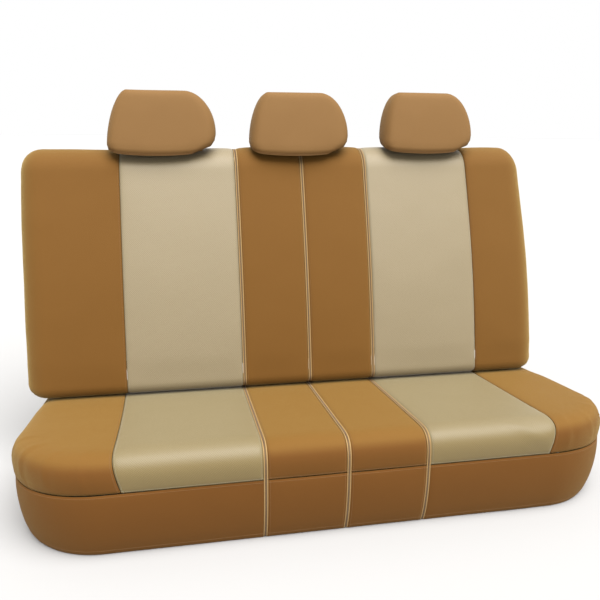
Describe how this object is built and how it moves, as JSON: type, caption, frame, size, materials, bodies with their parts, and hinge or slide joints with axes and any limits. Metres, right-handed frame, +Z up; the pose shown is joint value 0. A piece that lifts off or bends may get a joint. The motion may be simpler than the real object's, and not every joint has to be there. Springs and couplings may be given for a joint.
{
  "type": "seat cover set",
  "caption": "Rear bench seat cover set: bench cover, split backrest cover and three headrest covers in brown fabric with beige mesh inserts.",
  "frame": {"origin": "on the floor, under the middle of the set's box", "axes": "+X along the bench to the right of someone who faces it, +Y to the rear of the seat, +Z up"},
  "size_m": [1.319, 0.6669, 0.881],
  "materials": {
    "brown_fabric": "matte",
    "beige_mesh": "satin",
    "headrest_fabric": "matte",
    "zip_tape": "satin",
    "zip_metal": "satin",
    "lining": "matte",
    "elastic": "matte",
    "grip_tape": "matte",
    "buckle_plastic": "matte"
  },
  "bodies": {
    "bench_cover": {"bench_left_buckle_plug": "buckle_plastic", "bench_left_buckle_socket": "buckle_plastic", "bench_left_insert": "beige_mesh", "bench_left_middle_panel": "brown_fabric", "bench_left_middle_skirt": "brown_fabric", "bench_left_outer_panel": "brown_fabric", "bench_left_skirt": "brown_fabric", "bench_left_strap_front": "elastic", "bench_left_strap_rear": "elastic", "bench_left_zip": "zip_tape", "bench_middle_zip": "zip_tape", "bench_rear_panel": "lining", "bench_right_buckle_plug": "buckle_plastic", "bench_right_buckle_socket": "buckle_plastic", "bench_right_insert": "beige_mesh", "bench_right_middle_panel": "brown_fabric", "bench_right_middle_skirt": "brown_fabric", "bench_right_outer_panel": "brown_fabric", "bench_right_skirt": "brown_fabric", "bench_right_strap_front": "elastic", "bench_right_strap_rear": "elastic", "bench_right_zip": "zip_tape"},
    "back_left_section": {"back_left_grip_strip": "grip_tape", "back_left_gusset": "brown_fabric", "back_left_insert": "beige_mesh", "back_left_outer_panel": "brown_fabric", "back_left_rear_panel": "lining", "back_left_tuck_flap": "lining"},
    "back_centre_section": {"back_left_middle_grip_strip": "grip_tape", "back_left_middle_panel": "brown_fabric", "back_left_middle_rear_panel": "lining", "back_left_zip": "zip_tape", "back_middle_tuck_flap": "lining", "back_middle_zip": "zip_tape", "back_right_middle_grip_strip": "grip_tape", "back_right_middle_panel": "brown_fabric", "back_right_middle_rear_panel": "lining", "back_right_zip": "zip_tape"},
    "back_right_section": {"back_right_grip_strip": "grip_tape", "back_right_gusset": "brown_fabric", "back_right_insert": "beige_mesh", "back_right_outer_panel": "brown_fabric", "back_right_rear_panel": "lining", "back_right_tuck_flap": "lining"},
    "left_headrest_cover": {"left_headrest_front_panel": "headrest_fabric", "left_headrest_hem_band": "headrest_fabric", "left_headrest_rear_panel": "headrest_fabric"},
    "middle_headrest_cover": {"middle_headrest_front_panel": "headrest_fabric", "middle_headrest_hem_band": "headrest_fabric", "middle_headrest_rear_panel": "headrest_fabric"},
    "right_headrest_cover": {"right_headrest_front_panel": "headrest_fabric", "right_headrest_hem_band": "headrest_fabric", "right_headrest_rear_panel": "headrest_fabric"},
    "bench_left_zip_slider": {"bench_left_zip_slider": "zip_metal"},
    "bench_middle_zip_slider": {"bench_middle_zip_slider": "zip_metal"},
    "bench_right_zip_slider": {"bench_right_zip_slider": "zip_metal"},
    "back_left_zip_slider": {"back_left_zip_slider": "zip_metal"},
    "back_middle_zip_slider": {"back_middle_zip_slider": "zip_metal"},
    "back_right_zip_slider": {"back_right_zip_slider": "zip_metal"}
  },
  "joints": [
    {"name": "back_left_fold", "type": "hinge", "parent": "bench_cover", "child": "back_left_section", "pos_m": [-0.3225, 0.07362, 0.18847], "axis": [1, 0, 0], "range_deg": [0, 90]},
    {"name": "back_centre_fold", "type": "hinge", "parent": "bench_cover", "child": "back_centre_section", "pos_m": [0.0235, 0.07362, 0.18847], "axis": [1, 0, 0], "range_deg": [0, 90]},
    {"name": "back_right_fold", "type": "hinge", "parent": "bench_cover", "child": "back_right_section", "pos_m": [0.3695, 0.07362, 0.18847], "axis": [1, 0, 0], "range_deg": [0, 90]},
    {"name": "left_headrest_slide", "type": "slide", "parent": "back_left_section", "child": "left_headrest_cover", "axis": [0, 0.2756, 0.9613], "range_m": [0, 0.2]},
    {"name": "middle_headrest_slide", "type": "slide", "parent": "back_centre_section", "child": "middle_headrest_cover", "axis": [0, 0.2756, 0.9613], "range_m": [0, 0.2]},
    {"name": "right_headrest_slide", "type": "slide", "parent": "back_right_section", "child": "right_headrest_cover", "axis": [0, 0.2756, 0.9613], "range_m": [0, 0.2]},
    {"name": "bench_left_zip_slide", "type": "slide", "parent": "bench_cover", "child": "bench_left_zip_slider", "axis": [0, -0.993, 0.1184], "range_m": [0, 0.33]},
    {"name": "back_left_zip_slide", "type": "slide", "parent": "back_centre_section", "child": "back_left_zip_slider", "axis": [0, 0.2756, 0.9613], "range_m": [0, 0.42]},
    {"name": "bench_middle_zip_slide", "type": "slide", "parent": "bench_cover", "child": "bench_middle_zip_slider", "axis": [0, -0.993, 0.1184], "range_m": [0, 0.33]},
    {"name": "back_middle_zip_slide", "type": "slide", "parent": "back_centre_section", "child": "back_middle_zip_slider", "axis": [0, 0.2756, 0.9613], "range_m": [0, 0.42]},
    {"name": "bench_right_zip_slide", "type": "slide", "parent": "bench_cover", "child": "bench_right_zip_slider", "axis": [0, -0.993, 0.1184], "range_m": [0, 0.33]},
    {"name": "back_right_zip_slide", "type": "slide", "parent": "back_centre_section", "child": "back_right_zip_slider", "axis": [0, 0.2756, 0.9613], "range_m": [0, 0.42]}
  ]
}
